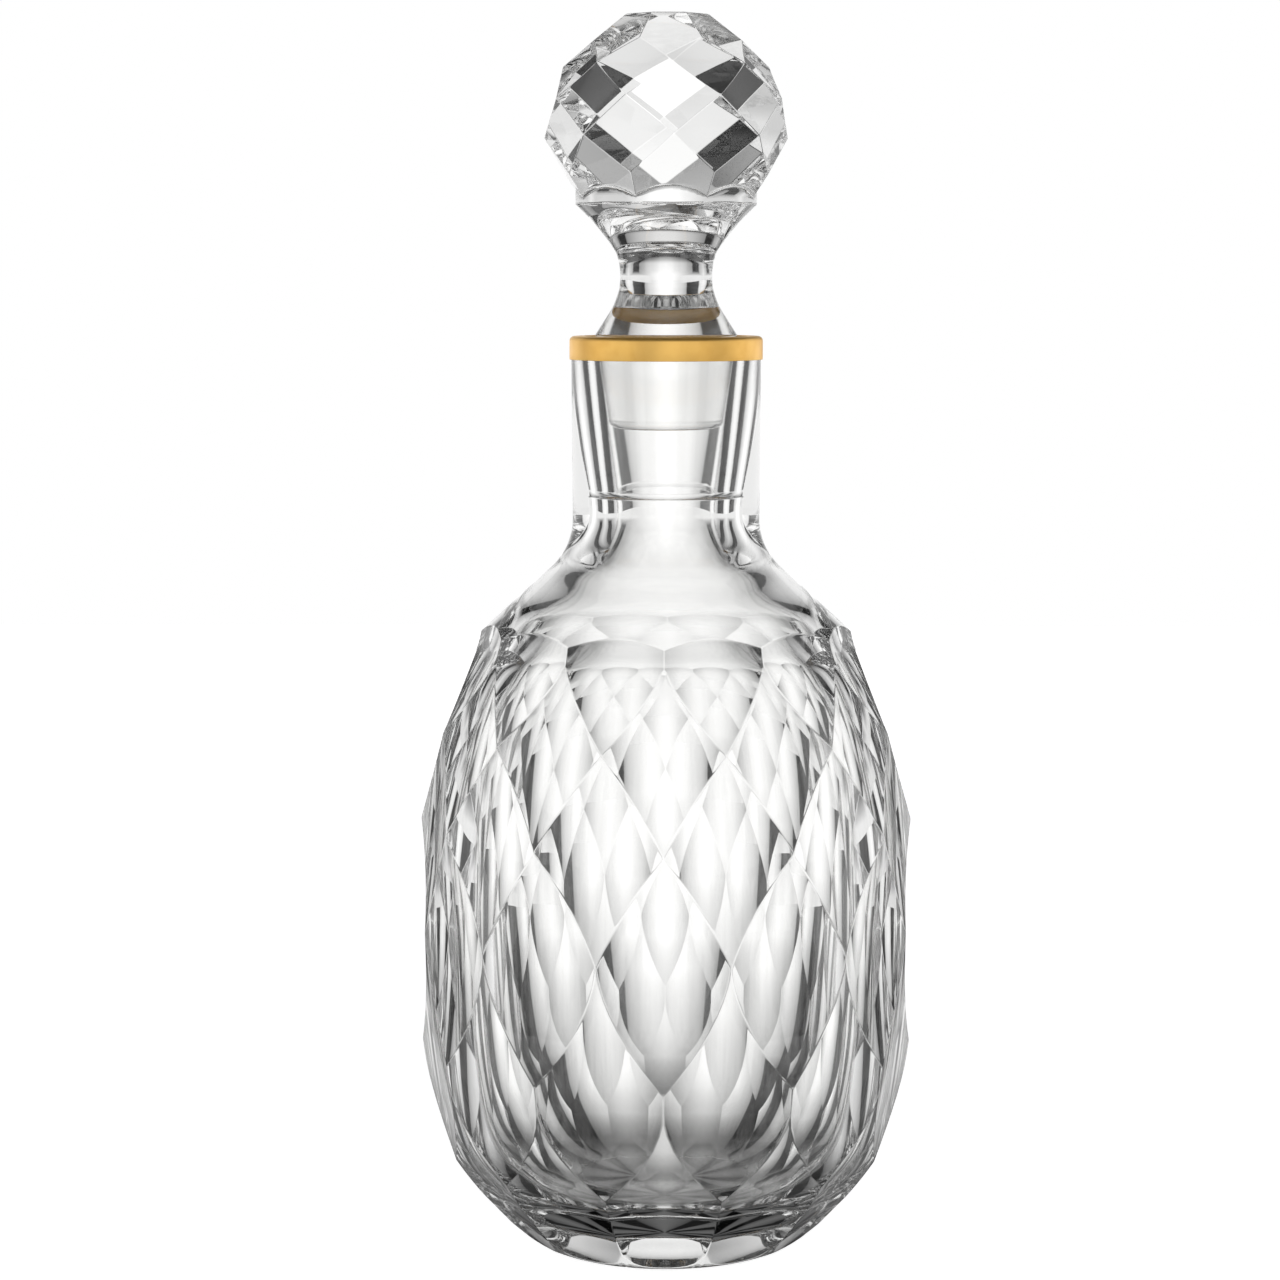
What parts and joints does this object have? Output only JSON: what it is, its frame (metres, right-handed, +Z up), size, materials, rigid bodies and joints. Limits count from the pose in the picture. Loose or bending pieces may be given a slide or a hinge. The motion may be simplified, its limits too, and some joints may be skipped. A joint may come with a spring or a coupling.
{
  "type": "cut crystal decanter",
  "caption": "Barrel-bodied crystal decanter cut with staggered lozenges, with a gilded lip and a faceted ball stopper.",
  "frame": {"origin": "centre of the flat foot, on the surface that it stands on", "axes": "+Z up along the bottle's axis, -Y towards the front column of cuts"},
  "size_m": [0.1214, 0.1214, 0.3023],
  "materials": {
    "crystal": "polished lead crystal",
    "stopper_crystal": "polished lead crystal, ground plug",
    "gilding": "burnished gold"
  },
  "bodies": {
    "bottle": {"bottle": "crystal", "gold_band": "gilding"},
    "stopper": {"stopper": "stopper_crystal"}
  },
  "joints": [
    {"name": "stopper_lift", "type": "slide", "parent": "bottle", "child": "stopper", "axis": [0, 0, 1], "range_m": [0, 0.06]}
  ]
}
